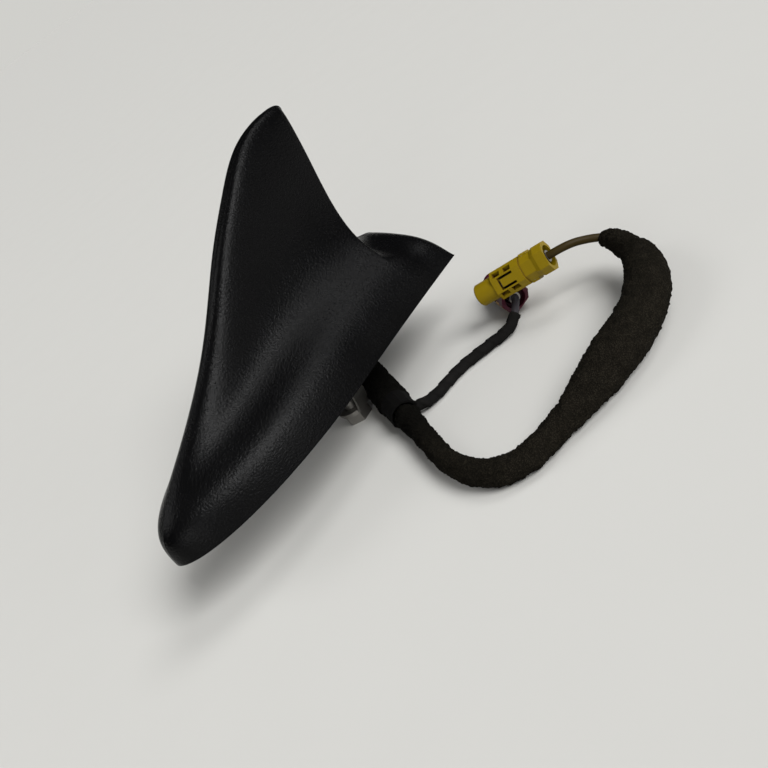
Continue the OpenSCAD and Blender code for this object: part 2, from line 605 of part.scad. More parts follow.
module foam_sleeve() {
    n = len(FOAM);
    inner = same(bore_ring + [0.1, 0.1], n);
    color([0.12, 0.1, 0.09]) sweep(gps_route, foam_from, foam_from + n - 1, FOAM, inner, 12);
}

// Band of tape over the place where the phone lead leaves the foam
band_route = [[-1.6, -24.6, -20.5], [-4.7, -29, -20.5], [-8.1, -33.7, -20.5]];
module branch_band() {
    color([0.06, 0.06, 0.06]) difference() {
        sweep(band_route, 0, 2, same([6, 5.5], 3), same([5.2, 4.7], 3), 12);
        for (i = [10:12]) {
            v = phone_route[i + 1] - phone_route[i];
            translate(phone_route[i]) rotate([0, acos(v[2] / norm(v)), atan2(v[1], v[0])])
                translate([0, 0, -1]) cylinder(r = lead_d / 2 + tape_t + 1, h = norm(v) + 2, $fn = 16);
        }
    }
}

module cloth_tape() {
    i0 = 10;
    i1 = 20;
    n = i1 - i0 + 1;
    r = lead_d / 2 + tape_t + wrap_gap;
    color([0.07, 0.07, 0.08]) sweep(phone_route, i0, i1, same([r, r], n), same(bore_ring, n), 8);
}

// Plugs: each is drawn along +X from the tip of its nose, with the latch face up
module placed(p) {
    translate(p[0]) rotate([0, 0, p[1]]) rotate([0, p[2], 0]) rotate([p[3], 0, 0]) children();
}
module tube_x(d, x0, x1, sides = 48) {
    translate([x0, 0, 0]) rotate([0, 90, 0]) cylinder(d = d, h = x1 - x0, $fn = sides);
}
module bar_x(x0, x1) {
    translate([x0, 0, 0]) rotate([90, 0, 90]) linear_extrude(x1 - x0) children();
}
module chamfered(w, h, c) {
    polygon([[w / 2, h / 2 - c], [w / 2 - c, h / 2], [c - w / 2, h / 2], [-w / 2, h / 2 - c],
             [-w / 2, c - h / 2], [c - w / 2, -h / 2], [w / 2 - c, -h / 2], [w / 2, c - h / 2]]);
}
neck_w = plug_w - 2 * neck_step;
neck_h = plug_h - 2 * neck_step;
clip_len = 3;
clip_depth = 0.4;
clip_lead = 0.4;                    // from the start of the neck to the clip
flange_h = plug_h - 0.2;
tongue_w = 4;
barrel_len = 1.5;                   // of the contact where it fills the bore
module plug_housing(s) {
    body0 = s[0];
    neck0 = s[0] + s[1];
    flange0 = neck0 + s[2];
    flare = 1.6;
    end = total(s);
    difference() {
        union() {
            rotate([0, 90, 0]) cylinder(d1 = nose_d - 0.8, d2 = nose_d, h = 0.5, $fn = 48);
            tube_x(nose_d, 0.5 - eps, body0 + eps);
            bar_x(body0, neck0) chamfered(plug_w, plug_h, plug_chamfer);
            bar_x(neck0 - eps, flange0 + eps) chamfered(neck_w, neck_h, plug_chamfer);
            translate([flange0, 0, 0]) rotate([90, 0, 90])
                linear_extrude(flare, scale = [flange_w / neck_w, flange_h / neck_h])
                    chamfered(neck_w, neck_h, plug_chamfer * neck_w / flange_w);
            bar_x(flange0 + flare - eps, end) chamfered(flange_w, flange_h, plug_chamfer);
        }
        tube_x(plug_bore, -1, end + 1);
        tube_x(recess_d, flange0 + flare, end + 1);
        // latch tongue cut free on three sides
        for (y = [-1, 1])
            translate([body0 + 2.6, (y * tongue_w - slot_w) / 2, plug_h / 2 - 3])
                cube([0.53 * s[1], slot_w, 4]);
        translate([body0 + 2.6, -tongue_w / 2, plug_h / 2 - 3]) cube([slot_w, tongue_w, 4]);
        // pairs of windows in the chamfered sides
        for (y = [-1, 1], x = [0.09, 0.48])
            translate([body0 + s[1] * x, 0, 0]) rotate([y * 45, 0, 0])
                translate([0, -1.1, plug_h / 2 - 1.4]) cube([s[1] * 0.26, 2.2, 4]);
        // groove for the locking clip
        translate([neck0 + clip_lead - 0.1, -plug_w, -plug_h])
            cube([clip_len + 0.2, 2 * plug_w, plug_h - neck_h / 2 + clip_depth]);
    }
}
module plug_clip(s) {
    x0 = s[0] + s[1] + clip_lead;
    w = neck_w / 2 + 0.1;
    ear = w + clip_t;
    low = -neck_h / 2;
    bar_x(x0, x0 + clip_len) polygon([
        [-w, low], [w, low], [w + clip_t, low + 1], [ear, low + 2], [ear, 0.8], [w, 1.4], [w, low + 2.2],
        [w - 1, low + clip_depth - fit], [1 - w, low + clip_depth - fit], [-w, low + 2.2], [-w, 1.4],
        [-ear, 0.8], [-ear, low + 2], [-w - clip_t, low + 1]]);
}
module plug_contact(s) {
    step = s[0] + 1;
    difference() {
        union() {
            tube_x(sleeve_d, 1.5, step + eps);
            tube_x(plug_bore - 2 * fit, step, step + barrel_len);
            tube_x(ferrule_d, step + barrel_len - eps, lead_stop(s));
        }
        tube_x(sleeve_d - 2 * sleeve_wall, 0, step);
        tube_x(2.2, step - 1, lead_stop(s) + 1);
    }
}
module plug_insulator(s) {
    step = s[0] + 1;
    difference() {
        union() {
            tube_x(sleeve_d - 2 * sleeve_wall - 2 * fit, 3.5, step - fit);
            tube_x(2.2 - 2 * fit, step - 2 * fit, lead_stop(s));
        }
        tube_x(pin_d + 2 * fit, 2, lead_stop(s) + 1, 24);
    }
}
module plug_pin(s) {
    tube_x(pin_d, 2.5, lead_stop(s), 24);
}
module plug_ferrule(s) {
    difference() {
        tube_x(ferrule_d, lead_stop(s), total(s) - 0.4);
        tube_x(lead_d + 2 * fit, lead_stop(s) - 1, total(s));
    }
}

module yellow_housing() { color([0.62, 0.52, 0.05]) placed(YELLOW) plug_housing(YELLOW[4]); }
module yellow_clip() { color([0.6, 0.5, 0.08]) placed(YELLOW) plug_clip(YELLOW[4]); }
module yellow_contact() { color([0.75, 0.74, 0.7]) placed(YELLOW) plug_contact(YELLOW[4]); }
module yellow_insulator() { color([0.9, 0.9, 0.88]) placed(YELLOW) plug_insulator(YELLOW[4]); }
module yellow_pin() { color([0.85, 0.68, 0.3]) placed(YELLOW) plug_pin(YELLOW[4]); }
module yellow_ferrule() { color([0.7, 0.68, 0.62]) placed(YELLOW) plug_ferrule(YELLOW[4]); }

module bordeaux_housing() { color([0.3, 0.04, 0.13]) placed(BORDEAUX) plug_housing(BORDEAUX[4]); }
module bordeaux_clip() { color([0.72, 0.52, 0.25]) placed(BORDEAUX) plug_clip(BORDEAUX[4]); }
module bordeaux_contact() { color([0.75, 0.74, 0.7]) placed(BORDEAUX) plug_contact(BORDEAUX[4]); }
module bordeaux_insulator() { color([0.9, 0.9, 0.88]) placed(BORDEAUX) plug_insulator(BORDEAUX[4]); }
module bordeaux_pin() { color([0.85, 0.68, 0.3]) placed(BORDEAUX) plug_pin(BORDEAUX[4]); }
module bordeaux_ferrule() { color([0.7, 0.68, 0.62]) placed(BORDEAUX) plug_ferrule(BORDEAUX[4]); }

fin_cover();
base_plate();
base_seal();
cover_screws();
circuit_board();
board_screws();
gps_patch();
patch_electrode();
patch_feed_pin();
screening_can();
mast_board();
mast_brackets();
mast_contact();
cable_grommet();
clamp_bolt();
clamp_claw();
gps_lead();
phone_lead();
foam_root();
foam_sleeve();
branch_band();
cloth_tape();
yellow_housing();
yellow_clip();
yellow_contact();
yellow_insulator();
yellow_pin();
yellow_ferrule();
bordeaux_housing();
bordeaux_clip();
bordeaux_contact();
bordeaux_insulator();
bordeaux_pin();
bordeaux_ferrule();
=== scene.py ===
# Shark-fin roof antenna with its foam-sleeved leads and coded radio plugs
import json
import math

import bpy
from mathutils import Matrix, Vector, noise


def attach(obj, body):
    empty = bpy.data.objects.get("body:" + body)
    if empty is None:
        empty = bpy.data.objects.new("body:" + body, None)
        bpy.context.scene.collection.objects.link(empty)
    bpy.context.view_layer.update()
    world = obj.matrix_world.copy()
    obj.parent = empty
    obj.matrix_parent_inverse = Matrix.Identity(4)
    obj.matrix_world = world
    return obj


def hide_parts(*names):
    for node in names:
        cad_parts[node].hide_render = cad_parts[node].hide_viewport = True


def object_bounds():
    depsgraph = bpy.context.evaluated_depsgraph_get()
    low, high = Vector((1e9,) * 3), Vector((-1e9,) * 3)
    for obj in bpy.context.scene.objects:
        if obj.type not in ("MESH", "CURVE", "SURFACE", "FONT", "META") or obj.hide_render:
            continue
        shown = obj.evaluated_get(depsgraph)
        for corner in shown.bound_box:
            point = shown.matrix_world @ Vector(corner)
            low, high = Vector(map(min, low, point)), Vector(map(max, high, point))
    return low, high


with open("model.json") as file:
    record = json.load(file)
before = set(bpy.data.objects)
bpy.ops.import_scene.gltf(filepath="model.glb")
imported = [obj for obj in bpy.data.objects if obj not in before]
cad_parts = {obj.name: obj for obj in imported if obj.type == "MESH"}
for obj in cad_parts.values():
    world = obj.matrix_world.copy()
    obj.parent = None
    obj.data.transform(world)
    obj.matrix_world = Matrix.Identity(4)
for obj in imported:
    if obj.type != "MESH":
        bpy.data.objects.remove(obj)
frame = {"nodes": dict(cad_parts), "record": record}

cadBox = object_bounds()
mm = 0.001
mounts = {m["name"]: m for m in frame["record"]["mounts"]}


# Shader helpers


class Wire:  # one output socket, so that sums on it add Math nodes
    def __init__(self, finish, socket):
        self.finish = finish
        self.socket = socket

    def maths(self, operation, first, second):
        return self.finish.node("ShaderNodeMath", {"operation": operation}, {0: first, 1: second})

    def __add__(self, other):
        return self.maths("ADD", self, other)

    def __radd__(self, other):
        return self.maths("ADD", other, self)

    def __sub__(self, other):
        return self.maths("SUBTRACT", self, other)

    def __rsub__(self, other):
        return self.maths("SUBTRACT", other, self)

    def __mul__(self, other):
        return self.maths("MULTIPLY", self, other)

    def __rmul__(self, other):
        return self.maths("MULTIPLY", other, self)


class Finish:  # one material with its own small node graph
    def __init__(self, name, slotName, **constants):
        self.slotName = slotName
        self.material = bpy.data.materials.new(name)
        self.material.use_nodes = True
        self.tree = self.material.node_tree
        self.tree.nodes.clear()
        self.shader = self.tree.nodes.new("ShaderNodeBsdfPrincipled")
        output = self.tree.nodes.new("ShaderNodeOutputMaterial")
        self.tree.links.new(self.shader.outputs[0], output.inputs[0])
        for socketName, value in constants.items():
            self.shader.inputs[socketName.replace("_", " ")].default_value = value
        self.place = self.node("ShaderNodeTexCoord", output="Object")

    def feed(self, socket, value):
        if isinstance(value, Wire):
            self.tree.links.new(value.socket, socket)
        else:
            socket.default_value = value

    def node(self, kind, settings=None, inputs=None, output=0):
        made = self.tree.nodes.new(kind)
        for name, value in (settings or {}).items():
            setattr(made, name, value)
        for key, value in (inputs or {}).items():
            self.feed(made.inputs[key], value)
        return Wire(self, made.outputs[output])

    def speckle(self, size, detail=3, rough=0.5, stretch=None):  # noise with blobs of that size
        where = self.place
        if stretch:
            where = self.node("ShaderNodeVectorMath", {"operation": "MULTIPLY"}, {0: where, 1: stretch})
        return self.node("ShaderNodeTexNoise", {}, {"Vector": where, "Scale": 1 / size, "Detail": detail,
                                                    "Roughness": rough})

    def cells(self, size):  # distance to the middle of the nearest cell of that size
        return self.node("ShaderNodeTexVoronoi", {}, {"Vector": self.place, "Scale": 1 / size}, "Distance")

    def blend(self, factor, first, second):  # colours, or mixes of them
        return self.node("ShaderNodeMix", {"data_type": "RGBA"},
                         {"Factor": factor, 6: first, 7: second}, 2)

    def between(self, value, low, high, toLow=0.0, toHigh=1.0):
        return self.node("ShaderNodeMapRange", {}, {"Value": value, "From Min": low, "From Max": high,
                                                    "To Min": toLow, "To Max": toHigh})

    def colour(self, value):
        self.feed(self.shader.inputs["Base Color"], value)

    def roughness(self, value):
        self.feed(self.shader.inputs["Roughness"], value)

    def bump(self, height, depth, strength=1.0):  # depth is the height's real size, in metres
        self.feed(self.shader.inputs["Normal"],
                  self.node("ShaderNodeBump", {}, {"Height": height, "Distance": depth,
                                                   "Strength": strength}))


def grey(value, warm=0.0):
    return (value * (1 + warm), value, value * (1 - warm), 1)


# Shape helpers


def newPiece(name, points, faces, finish, stage=False):
    mesh = bpy.data.meshes.new(name)
    mesh.from_pydata([tuple(p) for p in points], [], faces)
    mesh.polygons.foreach_set("use_smooth", [True] * len(faces))
    mesh.update()
    piece = bpy.data.objects.new(name, mesh)
    bpy.context.scene.collection.objects.link(piece)
    mesh.materials.append(finish.material)
    if stage:
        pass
    else:
        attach(piece, "root")
    return piece


def gridFaces(rows, columns, closed=True):
    last = columns if closed else columns - 1
    return [(i * columns + j, i * columns + (j + 1) % columns, (i + 1) * columns + (j + 1) % columns,
             (i + 1) * columns + j) for i in range(rows - 1) for j in range(last)]


def bend(a, b, c, d, t):  # Catmull-Rom from b to c
    return 0.5 * (2 * b + (c - a) * t + (2 * a - 5 * b + 4 * c - d) * t * t
                  + (3 * b - a - 3 * c + d) * t ** 3)


def smoothRoute(points, step, sizes=None):  # through the points; sizes are smoothed along with them
    rows = [points, sizes] if sizes else [points]
    ended = [[2 * row[0] - row[1]] + row + [2 * row[-1] - row[-2]] for row in rows]
    made = [[] for row in rows]
    for i in range(1, len(points)):
        pieces = max(2, round((points[i] - points[i - 1]).length / step))
        for line, row in zip(made, ended):
            line += [bend(*row[i - 1:i + 3], k / pieces) for k in range(pieces)]
    for line, row in zip(made, rows):
        line.append(row[-1])
    return made if sizes else made[0]


def framesAlong(route):  # tangent, level side and up at each point of a route
    count = len(route)
    tangents = [(route[min(i + 1, count - 1)] - route[max(i - 1, 0)]).normalized() for i in range(count)]
    sides = [None] * count
    for i in reversed(range(count)):
        level = Vector((tangents[i].y, -tangents[i].x, 0))
        known = sides[i + 1] if i + 1 < count and sides[i + 1] else Vector((1, 0, 0))
        side = level.normalized() if level.length > 0.25 else known
        sides[i] = (side - side.dot(tangents[i]) * tangents[i]).normalized()
    return [(t, s, s.cross(t)) for t, s in zip(tangents, sides)]


# Camera, floor and light

print("camera and stage")
shot = {"yaw": 38.1, "rise": 27.3, "roll": 37.3, "angle": 44.3, "distance": 341.5 * mm,
        "aim": (-13.5 * mm, 0, 28.3 * mm), "slide": (-44.9 * mm, 16.6 * mm)}


def setCamera(s):
    yaw, rise, roll = (math.radians(s[k]) for k in ("yaw", "rise", "roll"))
    back = Vector((-math.sin(yaw) * math.cos(rise), -math.cos(yaw) * math.cos(rise), math.sin(rise)))
    level = Vector((math.cos(yaw), -math.sin(yaw), 0))
    upright = back.cross(level)
    right = math.cos(roll) * level - math.sin(roll) * upright
    up = math.sin(roll) * level + math.cos(roll) * upright
    data = bpy.data.cameras.new("camera")
    data.sensor_width = 36
    data.lens = data.sensor_width / 2 / math.tan(math.radians(s["angle"] / 2))
    data.clip_start = 0.01
    camera = bpy.data.objects.new("camera", data)
    bpy.context.scene.collection.objects.link(camera)
    where = Vector(s["aim"]) + s["distance"] * back - s["slide"][0] * right - s["slide"][1] * up
    turn = Matrix((right, up, back)).transposed()
    camera.matrix_world = Matrix.Translation(where) @ turn.to_4x4()
    bpy.context.scene.camera = camera


setCamera(shot)
bpy.context.scene.view_settings.view_transform = "Standard"

stageSet = {
    "floorSize": 60.0, "floorColour": (0.63, 0.625, 0.598),
    "seen": (0.631, 0.627, 0.599),   # what the camera sees past the floor's edge
    "roof": 0.4, "walls": 0.03,      # the room's light overhead and all round
    "up": Vector((-0.32, -0.69, 0.64)), "wallsTo": 0.15, "roofFrom": 0.98,
    # name, power, direction towards the lamp, and its width in degrees
    "lamps": [("windowLight", 2.7, (0.0, -0.74, 0.67), 31),
              ("ceilingLight", 0.7, (0.54, -0.28, 0.80), 26),
              ("backLight", 0.5, (-0.32, 0.65, 0.69), 30),
              ("lowWindow", 0.35, (0.10, -0.98, 0.14), 26),
              ("doorLight", 0.6, (-0.82, -0.53, 0.17), 26)]}


def setStage(s):
    paint = Finish("tableTop", None, Specular_IOR_Level=0.15)
    mottle = paint.speckle(30 * mm, 4)
    darker = tuple(c * 0.98 for c in s["floorColour"])
    paint.colour(paint.blend(mottle, s["floorColour"] + (1,), darker + (1,)))
    paint.roughness(0.6 + 0.1 * mottle)
    half, z = s["floorSize"] / 2, cadBox[0][2]
    newPiece("floor", [(-half, -half, z), (half, -half, z), (half, half, z), (-half, half, z)],
             [(0, 1, 2, 3)], paint, stage=True)
    world = bpy.data.worlds.new("room")
    world.use_nodes = True
    nodes, links = world.node_tree.nodes, world.node_tree.links
    back = nodes["Background"]
    way = nodes.new("ShaderNodeTexCoord")
    height = nodes.new("ShaderNodeVectorMath")
    height.operation = "DOT_PRODUCT"
    height.inputs[1].default_value = s["up"].normalized()
    ramp = nodes.new("ShaderNodeMapRange")
    ramp.interpolation_type = "SMOOTHSTEP"
    for name, value in (("From Min", s["wallsTo"]), ("From Max", s["roofFrom"]),
                        ("To Min", s["walls"]), ("To Max", s["roof"])):
        ramp.inputs[name].default_value = value
    light = nodes.new("ShaderNodeCombineColor")
    path = nodes.new("ShaderNodeLightPath")
    pick = nodes.new("ShaderNodeMix")
    pick.data_type = "RGBA"
    pick.inputs[7].default_value = s["seen"] + (1,)
    links.new(way.outputs["Generated"], height.inputs[0])
    links.new(height.outputs["Value"], ramp.inputs["Value"])
    for name in ("Red", "Green", "Blue"):
        links.new(ramp.outputs["Result"], light.inputs[name])
    links.new(light.outputs["Color"], pick.inputs[6])
    links.new(path.outputs["Is Camera Ray"], pick.inputs["Factor"])
    links.new(pick.outputs[2], back.inputs["Color"])
    bpy.context.scene.world = world


def softSun(name, power, towards, softness):
    data = bpy.data.lights.new(name, "SUN")
    data.energy = power
    data.angle = math.radians(softness)
    lamp = bpy.data.objects.new(name, data)
    bpy.context.scene.collection.objects.link(lamp)
    lamp.rotation_mode = "QUATERNION"
    lamp.rotation_quaternion = Vector(towards).to_track_quat("Z", "Y")


setStage(stageSet)
for lampName, power, towards, softness in stageSet["lamps"]:
    softSun(lampName, power, towards, softness)


# Finishes

print("finishes")


def coverBlack():
    f = Finish("coverBlack", "cover_black", Specular_IOR_Level=0.082)
    broad = f.speckle(22 * mm, 4)
    grain = f.speckle(0.75 * mm, 2, 0.5)
    fine = f.speckle(0.3 * mm, 2)
    f.colour(f.blend(f.between(broad, 0.3, 0.7), (0.001, 0.001, 0.0012, 1), (0.002, 0.002, 0.0022, 1)))
    f.roughness(0.16 + 0.1 * broad + 0.1 * grain)
    f.bump(grain + 0.3 * fine, 0.2 * mm, 1.0)
    return f


def seenMetal(name, slotName, shade, rough, grainSize=0.8 * mm):
    f = Finish(name, slotName, Metallic=1.0)
    cloud = f.speckle(4 * mm, 4)
    grain = f.speckle(grainSize, 3, 0.6, (1, 1, 4))
    dark = tuple(c * 0.7 for c in shade) + (1,)
    f.colour(f.blend(cloud, dark, tuple(shade) + (1,)))
    f.roughness(rough + 0.15 * grain)
    f.bump(grain, 0.02 * mm, 0.5)
    return f


# paintedShade, when given, is the colour of painted shade in recesses and slots; the dust speckles are the
# plastic's own
def seenPlastic(name, slotName, shade, rough=0.42, dust=0.12, dustShade=(0.32, 0.3, 0.27), gloss=0.4,
                paintedShade=None):
    f = Finish(name, slotName, Specular_IOR_Level=gloss)
    cloud = f.speckle(5 * mm, 4)
    grain = f.speckle(0.35 * mm, 3, 0.6)
    deep = tuple(c * 0.8 for c in shade) + (1,)
    clean = f.blend(cloud, deep, tuple(shade) + (1,))
    dustAndShade = f.blend(f.between(grain * cloud, 0.2, 0.45, 0, dust), clean, dustShade + (1,))
    if paintedShade:  # painted shade: recesses and slots are darkened towards the paintedShade colour by an ambient occlusion mask
        openness = f.node("ShaderNodeAmbientOcclusion", {"samples": 12, "only_local": True},
                          {"Distance": 2.2 * mm}, "AO")
        dustAndShade = f.blend(f.between(openness, 0.35, 0.85), paintedShade + (1,), dustAndShade)
    f.colour(dustAndShade)
    f.roughness(rough + 0.12 * grain)
    f.bump(grain, 0.03 * mm, 0.5)
    return f


def seenRubber(name, slotName, shade=(0.018, 0.018, 0.018)):
    f = Finish(name, slotName, Specular_IOR_Level=0.35)
    grain = f.speckle(0.5 * mm, 4, 0.6)
    f.colour(f.blend(f.speckle(6 * mm), tuple(shade) + (1,), tuple(c * 1.8 for c in shade) + (1,)))
    f.roughness(0.7 + 0.15 * grain)
    f.bump(grain, 0.05 * mm, 0.6)
    return f


def foamBrown(name, deep, pale, darkEnd=None):
    f = Finish(name, "foam", Specular_IOR_Level=0.04)
    cells = f.cells(0.55 * mm)
    small = f.cells(0.26 * mm)
    patches = f.speckle(4 * mm, 5, 0.6)
    pits = f.between(cells + 0.6 * small, 0.3, 1.0)
    light = f.blend(f.between(patches, 0.35, 0.65), deep + (1,), pale + (1,))
    if darkEnd:  # blackened where it comes out of the band
        away = f.node("ShaderNodeVectorMath", {"operation": "DISTANCE"}, {0: f.place, 1: darkEnd}, "Value")
        light = f.blend(f.between(away, 12 * mm, 42 * mm), (0.006, 0.006, 0.0048, 1), light)
    f.colour(f.blend(0.85 * pits, light, (0.003, 0.0026, 0.002, 1)))
    f.roughness(1.0)
    f.bump(1 - pits, 0.4 * mm, 1.0)
    return f


def clothBlack(name, low, high):
    f = Finish(name, "cloth_black", Specular_IOR_Level=0.08)
    patches = f.speckle(3 * mm, 4)
    fuzz = f.speckle(0.25 * mm, 3, 0.7)
    f.colour(f.blend(patches, grey(low, 0.04), grey(high, 0.06)))
    f.roughness(0.8 + 0.15 * fuzz)
    f.bump(fuzz, 0.12 * mm, 0.8)
    return f


def boardGreen():
    f = Finish("boardGreen", "board_green", Coat_Weight=0.4)
    tracks = f.node("ShaderNodeTexBrick", {"offset": 0.5}, {
        "Vector": f.place, "Color1": (0.012, 0.09, 0.035, 1), "Color2": (0.008, 0.06, 0.025, 1),
        "Mortar": (0.02, 0.15, 0.06, 1), "Scale": 120, "Mortar Size": 0.03})
    f.colour(tracks)
    f.roughness(0.35 + 0.1 * f.speckle(2 * mm))
    return f


finishes = {
    "fin_cover": coverBlack(),
    "base_plate": seenMetal("castZinc", "cast_zinc", (0.50, 0.50, 0.48), 0.45, 0.6 * mm),
    "base_seal": seenRubber("sealRubber", "seal_rubber"),
    "screws": seenMetal("screwZinc", "screw_steel", (0.60, 0.60, 0.60), 0.3),
    "board": boardGreen(),
    "gps_patch": seenPlastic("patchCeramic", "patch_ceramic", (0.60, 0.54, 0.42), 0.6),
    "patch_electrode": seenMetal("silvered", "silvered", (0.85, 0.84, 0.80), 0.3),
    "gold": seenMetal("pinGold", "pin_gold", (0.83, 0.62, 0.28), 0.25),
    "can": seenMetal("canTin", "can_tin", (0.70, 0.70, 0.68), 0.3),
    "clamp": seenMetal("clampZinc", "clamp_steel", (0.28, 0.27, 0.25), 0.4),
    "gps_lead": seenPlastic("leadBrown", "lead_brown", (0.032, 0.021, 0.0045), 0.42, 0.03,
                            (0.05, 0.037, 0.015), 0.1),
    "phone_lead": seenPlastic("leadGrey", "lead_grey", (0.032, 0.029, 0.035), 0.4, 0.05,
                              (0.08, 0.07, 0.08), 0.25),
    "foam": foamBrown("foamBrown", (0.017, 0.0148, 0.0102), (0.032, 0.0275, 0.0195),
                      (-0.0083, -0.034, -0.0208)),
    "root": foamBrown("foamBlack", (0.0035, 0.0036, 0.003), (0.0065, 0.0068, 0.0055)),
    "cloth": clothBlack("clothBlack", 0.002, 0.0095),
    "band": clothBlack("bandBlack", 0.0008, 0.003),
    # the last colour of the plugs and the tan clip is painted shade for their recesses and slots
    "yellow": seenPlastic("plugYellow", "plug_yellow", (0.245, 0.168, 0.0022), 0.4, 0.05,
                          (0.12, 0.08, 0.015), 0.16, (0.05, 0.016, 0.008)),
    "bordeaux": seenPlastic("plugBordeaux", "plug_bordeaux", (0.065, 0.005, 0.018), 0.42, 0.04,
                            (0.1, 0.05, 0.06), 0.3, (0.012, 0.003, 0.005)),
    "tan": seenPlastic("clipTan", "clip_tan", (0.42, 0.24, 0.07), 0.45, 0.05, (0.2, 0.14, 0.06), 0.3,
                       (0.03, 0.014, 0.006)),
    "nickel": seenMetal("contactNickel", "contact_nickel", (0.36, 0.34, 0.32), 0.35),
    "white": seenPlastic("insulatorWhite", "insulator_white", (0.80, 0.80, 0.77), 0.4, 0.05),
}

dressed = {
    "base_plate": "base_plate", "base_seal": "base_seal", "cover_screws": "screws", "board_screws": "screws",
    "circuit_board": "board", "gps_patch": "gps_patch", "patch_electrode": "patch_electrode",
    "patch_feed_pin": "gold", "screening_can": "can", "mast_board": "board", "mast_brackets": "can",
    "mast_contact": "gold", "cable_grommet": "base_seal", "clamp_bolt": "clamp", "clamp_claw": "clamp",
    "yellow_housing": "yellow", "yellow_clip": "yellow", "yellow_contact": "nickel",
    "yellow_insulator": "white", "yellow_pin": "gold", "yellow_ferrule": "nickel",
    "bordeaux_housing": "bordeaux", "bordeaux_clip": "tan", "bordeaux_contact": "nickel",
    "bordeaux_insulator": "white", "bordeaux_pin": "gold", "bordeaux_ferrule": "nickel"}


def dressNodes(pairs):
    for nodeName, finishName in pairs.items():
        solid = frame["nodes"][nodeName]
        for place in solid.material_slots:
            place.material = finishes[finishName].material


dressNodes(dressed)
edges = {"nodes": ("yellow_housing", "yellow_clip", "bordeaux_housing", "bordeaux_clip", "clamp_claw"),
         "width": 0.18 * mm, "segments": 2, "sharperThan": 40}
for nodeName in edges["nodes"]:
    soften = frame["nodes"][nodeName].modifiers.new("soften", "BEVEL")
    soften.width = edges["width"]
    soften.segments = edges["segments"]
    soften.limit_method = "ANGLE"
    soften.angle_limit = math.radians(edges["sharperThan"])

# Leads

print("leads")
leads = {
    "diameter": 3.0 * mm, "around": 6, "between": 8,
    "pitch": 3.4 * mm,               # between the two leads where they leave the base
    "run": Vector((-0.58, -0.81, 0)).normalized(),
    "aperture": Vector((0.016, 0, 0)),
    "drop": (0.0082, 0.002, -0.009, -0.0125),  # heights of the points straight down out of the base
    "gps": [
        (0.014, 0.0001, -0.0165), (0.0123, -0.0022, -0.0194), (0.01, -0.0055, -0.0205),
        (0.0046, -0.013, -0.0205), (-0.0006, -0.02, -0.0205), (-0.0036, -0.0246, -0.0205),
        (-0.0062, -0.0294, -0.0205), (-0.0083, -0.034, -0.0208), (-0.0152, -0.044, -0.0214),
        (-0.0222, -0.0534, -0.0215), (-0.029, -0.063, -0.0216), (-0.034, -0.0724, -0.0216),
        (-0.0365, -0.082, -0.0216), (-0.0358, -0.0918, -0.0215), (-0.0298, -0.0996, -0.0212),
        (-0.0208, -0.104, -0.0208), (-0.0116, -0.1084, -0.02), (-0.002, -0.112, -0.0189),
        (0.0086, -0.1152, -0.018), (0.019, -0.1176, -0.0177), (0.0295, -0.1184, -0.0173),
        (0.0405, -0.1168, -0.0163), (0.0514, -0.112, -0.0149), (0.0584, -0.1058, -0.0135),
        (0.0634, -0.0988, -0.0122), (0.066, -0.0934, -0.0113), (0.0648, -0.0904, -0.0099),
        (0.063, -0.0876, -0.0086), (0.0604, -0.0849, -0.0072), (0.0574, -0.0816, -0.0064)],
    "phone": [
        (0.0168, -0.0019, -0.0165), (0.0151, -0.0042, -0.0194), (0.0128, -0.0075, -0.0205),
        (0.0074, -0.015, -0.0205), (0.002, -0.0225, -0.0205), (-0.0016, -0.0276, -0.0206),
        (-0.0029, -0.0315, -0.0212), (-0.0018, -0.0352, -0.0222), (0.0014, -0.038, -0.023),
        (0.006, -0.04, -0.0236), (0.012, -0.0416, -0.0237), (0.019, -0.0442, -0.0237),
        (0.0254, -0.0486, -0.0237), (0.031, -0.053, -0.0236), (0.035, -0.0567, -0.0232),
        (0.0386, -0.0587, -0.0223), (0.0424, -0.0591, -0.021), (0.0467, -0.0579, -0.0201)]}
plugSizes = {"yellow": {"length": 31.5 * mm, "leadStop": 21.5 * mm},
             "bordeaux": {"length": 22.5 * mm, "leadStop": 14 * mm}}


def plugPoint(plug, distance):  # a point on a plug's axis, measured from the tip of its nose
    mount = mounts[plug + "_nose"]
    away = Vector(mount["axis"])
    tip = Vector(mount["pos_m"]) + away * mount["dims"]["length_mm"] / 2 * mm
    return tip - away * distance


def leadRoute(which, sign, plug):
    across = Vector((-leads["run"].y, leads["run"].x, 0))
    start = leads["aperture"] + across * sign * leads["pitch"] / 2
    sizes = plugSizes[plug]
    return ([Vector((start.x, start.y, z)) for z in leads["drop"]] + [Vector(p) for p in leads[which]]
            + [plugPoint(plug, sizes["length"]), plugPoint(plug, sizes["leadStop"])])


def leadCurve(name, route, finish):
    data = bpy.data.curves.new(name, "CURVE")
    data.dimensions = "3D"
    data.bevel_depth = leads["diameter"] / 2
    data.bevel_resolution = leads["around"]
    data.resolution_u = leads["between"]
    data.use_fill_caps = True
    spline = data.splines.new("BEZIER")
    spline.bezier_points.add(len(route) - 1)
    for point, place in zip(spline.bezier_points, route):
        point.co = place
        point.handle_left_type = point.handle_right_type = "AUTO"
    piece = bpy.data.objects.new(name, data)
    bpy.context.scene.collection.objects.link(piece)
    data.materials.append(finish.material)
    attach(piece, "root")
    return piece


def routeLength(route):
    fine = smoothRoute(route, 1 * mm)
    return sum((b - a).length for a, b in zip(fine, fine[1:]))


gpsRoute = leadRoute("gps", -1, "yellow")
phoneRoute = leadRoute("phone", 1, "bordeaux")
gpsLead = leadCurve("gpsLead", gpsRoute, finishes["gps_lead"])
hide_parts("gps_lead")
phoneLead = leadCurve("phoneLead", phoneRoute, finishes["phone_lead"])
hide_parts("phone_lead")


# Foam sleeves

